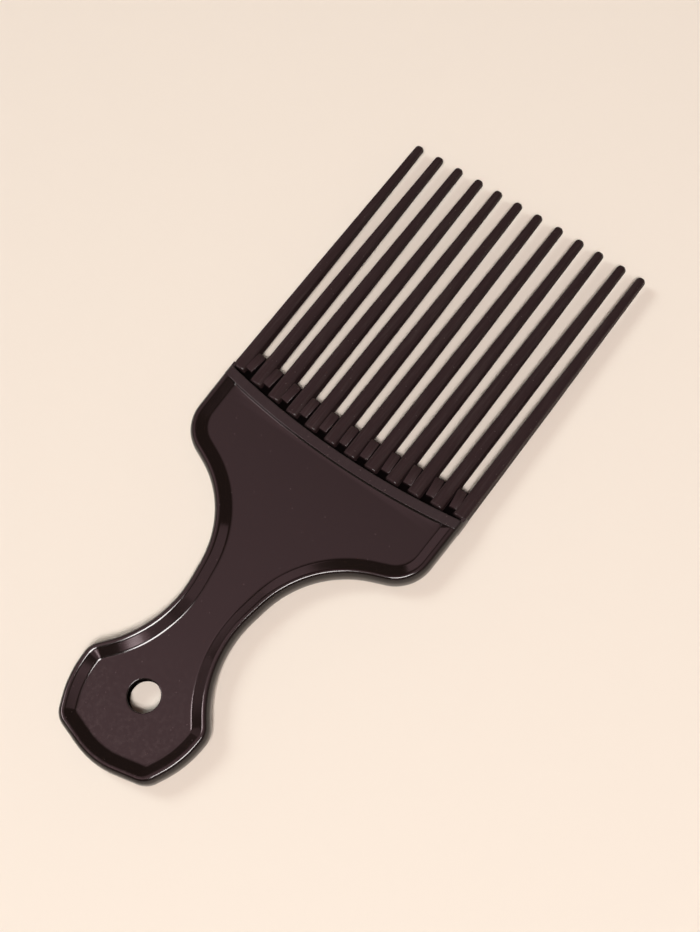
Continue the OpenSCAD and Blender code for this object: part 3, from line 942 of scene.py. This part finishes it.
def tooth_section(width, thick, fillet):
    """A section as (x, z) pairs with rounded corners and a point beside each rounding, in millimetres."""
    quarter = [(across * width / 2, deep * thick / 2) for across, deep in QUARTER_SHARES]
    right = quarter + [(x, -z) for x, z in reversed(quarter)]
    ring = right + [(-x, -z) for x, z in right]
    pairs = []
    for i, corner in enumerate(ring):
        u = direction(ring[i - 1], corner)
        v = direction(corner, ring[(i + 1) % len(ring)])
        turn = atan2(u[0] * v[1] - u[1] * v[0], u[0] * v[0] + u[1] * v[1])
        reach = fillet * tan(abs(turn) / 2)
        beside = reach * BESIDE_SHARE
        start = (corner[0] - u[0] * reach, corner[1] - u[1] * reach)
        centre = (start[0] + u[1] * fillet, start[1] - u[0] * fillet)
        pairs.append((start[0] - u[0] * beside, start[1] - u[1] * beside))
        pairs += [turned(start, centre, turn * k / FILLET_STEPS) for k in range(FILLET_STEPS + 1)]
        end = pairs[-1]
        pairs.append((end[0] + v[0] * beside, end[1] + v[1] * beside))
    return pairs


mid_thickness = ROOT_THICKNESS + (TIP_THICKNESS - ROOT_THICKNESS) * MID_SHARE
sections = {
    "root_place": tooth_section(ROOT_WIDTH, ROOT_THICKNESS, ROOT_FILLET),
    "mid_place": tooth_section(MID_WIDTH, mid_thickness, MID_FILLET),
    "tip_place": tooth_section(TIP_WIDTH, TIP_THICKNESS, TIP_FILLET),
}
section_size = len(sections["root_place"])
section_mesh = bpy.data.meshes.new("tooth_section")
section_mesh.from_pydata([(x * MM, z * MM, 0) for x, z in sections["root_place"]],
                         [(i, (i + 1) % section_size) for i in range(section_size)], [])
for title, pairs in sections.items():
    attribute = section_mesh.attributes.new(title, "FLOAT_VECTOR", "POINT")
    for item, (x, z) in zip(attribute.data, pairs):
        item.vector = (x * MM, 0, z * MM)
print("tooth section has", section_size, "points")

# %% Sweep of a tooth
# Each ring of the sweep keeps its share of the length. They crowd at both ends, where the tooth is rounded.
END_CROWDING = 0.92
TOOTH_RINGS = 64
tooth_tree, tooth_in, tooth_out = new_group(
    "tapered_tooth", "GeometryNodeTree",
    [("Section", "NodeSocketGeometry", None),
     ("Root", "NodeSocketVector", None), ("Tip", "NodeSocketVector", None),
     ("Rings", "NodeSocketInt", TOOTH_RINGS), ("Mid Share", "NodeSocketFloat", MID_SHARE),
     ("Root Round", "NodeSocketFloat", 0.0003), ("Tip Round", "NodeSocketFloat", 0.0009),
     ("Root Width", "NodeSocketFloat", 0.003), ("Root Thickness", "NodeSocketFloat", 0.005),
     ("Finish", "NodeSocketMaterial", None)],
    [("Tooth", "NodeSocketGeometry")])
tooth_feed = {socket.name: socket for socket in tooth_in.outputs}


def on_tooth(operation, a, b=None):
    """The result of a Math node in the tree of the tooth."""
    return calc(tooth_tree, operation, a, b)


section_curve = wire(tooth_tree, "GeometryNodeMeshToCurve", tooth_feed["Section"])
path = wire(tooth_tree, "GeometryNodeCurvePrimitiveLine", (0, 0, 0), (0, 1, 0))
path_rings = wire(tooth_tree, "GeometryNodeResampleCurve", path.outputs[0], None, tooth_feed["Rings"])
kept = wire(tooth_tree, "GeometryNodeCaptureAttribute", path_rings.outputs[0])
kept.capture_items.new("FLOAT", "share")
connect(tooth_tree, wire(tooth_tree, "GeometryNodeSplineParameter").outputs["Factor"], kept.inputs[1])
sweep = wire(tooth_tree, "GeometryNodeCurveToMesh", kept.outputs[0], section_curve.outputs[0])
sweep.inputs["Fill Caps"].default_value = True
swing = on_tooth("SINE", on_tooth("MULTIPLY", kept.outputs[1], 2 * pi))
along = on_tooth("SUBTRACT", kept.outputs[1], on_tooth("MULTIPLY", swing, END_CROWDING / (2 * pi)))
print(tooth_tree.name, "has", len(tooth_tree.nodes), "nodes so far")

# %% Taper and lean
def named_place(title):
    """A vector that each point of the section carries."""
    node = wire(tooth_tree, "GeometryNodeInputNamedAttribute", data_type="FLOAT_VECTOR")
    node.inputs["Name"].default_value = title
    return node.outputs[0]


to_mid = remap(tooth_tree, along, 0.0, tooth_feed["Mid Share"])
to_tip = remap(tooth_tree, along, tooth_feed["Mid Share"], 1.0)
lower_place = mix(tooth_tree, "VECTOR", to_mid, named_place("root_place"), named_place("mid_place"))
section_place = mix(tooth_tree, "VECTOR", to_tip, lower_place, named_place("tip_place"))
axis_place = mix(tooth_tree, "VECTOR", along, tooth_feed["Root"], tooth_feed["Tip"])
span = wire(tooth_tree, "ShaderNodeVectorMath", tooth_feed["Root"], tooth_feed["Tip"],
            operation="DISTANCE").outputs["Value"]
from_root = on_tooth("MULTIPLY", along, span)
from_tip = on_tooth("SUBTRACT", span, from_root)
print(tooth_tree.name, "has", len(tooth_tree.nodes), "nodes so far")

# %% Rounded ends
# Near the root a ring shrinks by the same inset on all sides, as a small fillet does. Near the tip it
# shrinks in proportion, as a dome does.
short = on_tooth("MAXIMUM", on_tooth("SUBTRACT", tooth_feed["Root Round"], from_root), 0.0)
inside = on_tooth("SUBTRACT", on_tooth("MULTIPLY", tooth_feed["Root Round"], tooth_feed["Root Round"]),
                  on_tooth("MULTIPLY", short, short))
inset = on_tooth("SUBTRACT", tooth_feed["Root Round"], on_tooth("SQRT", inside))


def shrunk(size):
    """The share that is left of a size after the inset of the root's fillet on both sides."""
    return on_tooth("SUBTRACT", 1.0, on_tooth("DIVIDE", on_tooth("MULTIPLY", inset, 2.0), size))


tip_gap = on_tooth("MAXIMUM", on_tooth("SUBTRACT", tooth_feed["Tip Round"], from_tip), 0.0)
tip_share = on_tooth("MINIMUM", on_tooth("DIVIDE", tip_gap, tooth_feed["Tip Round"]), 1.0)
dome = on_tooth("SQRT", on_tooth("SUBTRACT", 1.0, on_tooth("MULTIPLY", tip_share, tip_share)))
parts = wire(tooth_tree, "ShaderNodeSeparateXYZ", section_place).outputs
x_part = on_tooth("MULTIPLY", on_tooth("MULTIPLY", parts[0], shrunk(tooth_feed["Root Width"])), dome)
z_part = on_tooth("MULTIPLY", on_tooth("MULTIPLY", parts[2], shrunk(tooth_feed["Root Thickness"])), dome)
offset = wire(tooth_tree, "ShaderNodeCombineXYZ", x_part, 0.0, z_part).outputs[0]
target = wire(tooth_tree, "ShaderNodeVectorMath", axis_place, offset, operation="ADD").outputs[0]
shaped = wire(tooth_tree, "GeometryNodeSetPosition", sweep.outputs[0], None, target)
merged = wire(tooth_tree, "GeometryNodeMergeByDistance", shaped.outputs[0])
merged.inputs["Distance"].default_value = MERGE
whole_tooth = wire(tooth_tree, "GeometryNodeRealizeInstances", merged.outputs[0])
tooth_finish = wire(tooth_tree, "GeometryNodeSetMaterial", whole_tooth.outputs[0], None, tooth_feed["Finish"])
connect(tooth_tree, tooth_finish.outputs[0], tooth_out.inputs[0])
print(tooth_tree.name, "has", len(tooth_tree.nodes), "nodes")

# %% Twelve teeth
ROOT_ROUND = 0.5
TIP_ROUND = TIP_WIDTH / 2
# Lean of each tip from its place, from the left, as shares of the pitch
LEAN_SHARES = [0.01, 0.02, 0.01, 0.03, 0, 0, 0, 0.02, 0.04, 0, 0.08, 0.01]
teeth = []
for i in range(TEETH):
    x = i * ROOT_PITCH - OUTER_TOOTH
    tip_x = x / ROOT_PITCH * TIP_PITCH + LEAN_SHARES[i] * ROOT_PITCH
    tip_up = PICK_LENGTH - TIP_FALL * (x / OUTER_TOOTH) ** 2
    teeth.append(grown(f"tooth_{i + 1:02d}_moulding", section_mesh, tooth_tree, {
        "Root": place(x, root_up(x), 0), "Tip": place(tip_x, tip_up, 0), "Rings": TOOTH_RINGS,
        "Mid Share": MID_SHARE, "Root Round": ROOT_ROUND * MM, "Tip Round": TIP_ROUND * MM,
        "Root Width": ROOT_WIDTH * MM, "Root Thickness": ROOT_THICKNESS * MM, "Finish": painted_lit_satin}))
print(len(teeth), "teeth,", len(teeth[0].data.vertices), "vertices each")

# %% [markdown]
# ## Riding on the frame
#
# Nothing on the pick moves, so every piece rides on the one body of the model, and the CAD node that each
# one stands for is hidden. The plate and the webs belong to the same node as the bar. Joining everything to
# one mesh would render just as well, but then no piece could be shown or changed by itself.

# %% Pieces and bodies
stand_ins = [(handle, "handle", "handle_plastic"), (bar, "tooth_bar", "comb_plastic")]
stand_ins += [(tooth, f"tooth_{i + 1:02d}", "comb_plastic") for i, tooth in enumerate(teeth)]
for piece, node, slot in stand_ins:
    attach(piece, "root")
    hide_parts(node)
between_teeth = [plate, webs]
for piece in between_teeth:
    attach(piece, "root")
print("pieces:", len(stand_ins) + len(between_teeth))
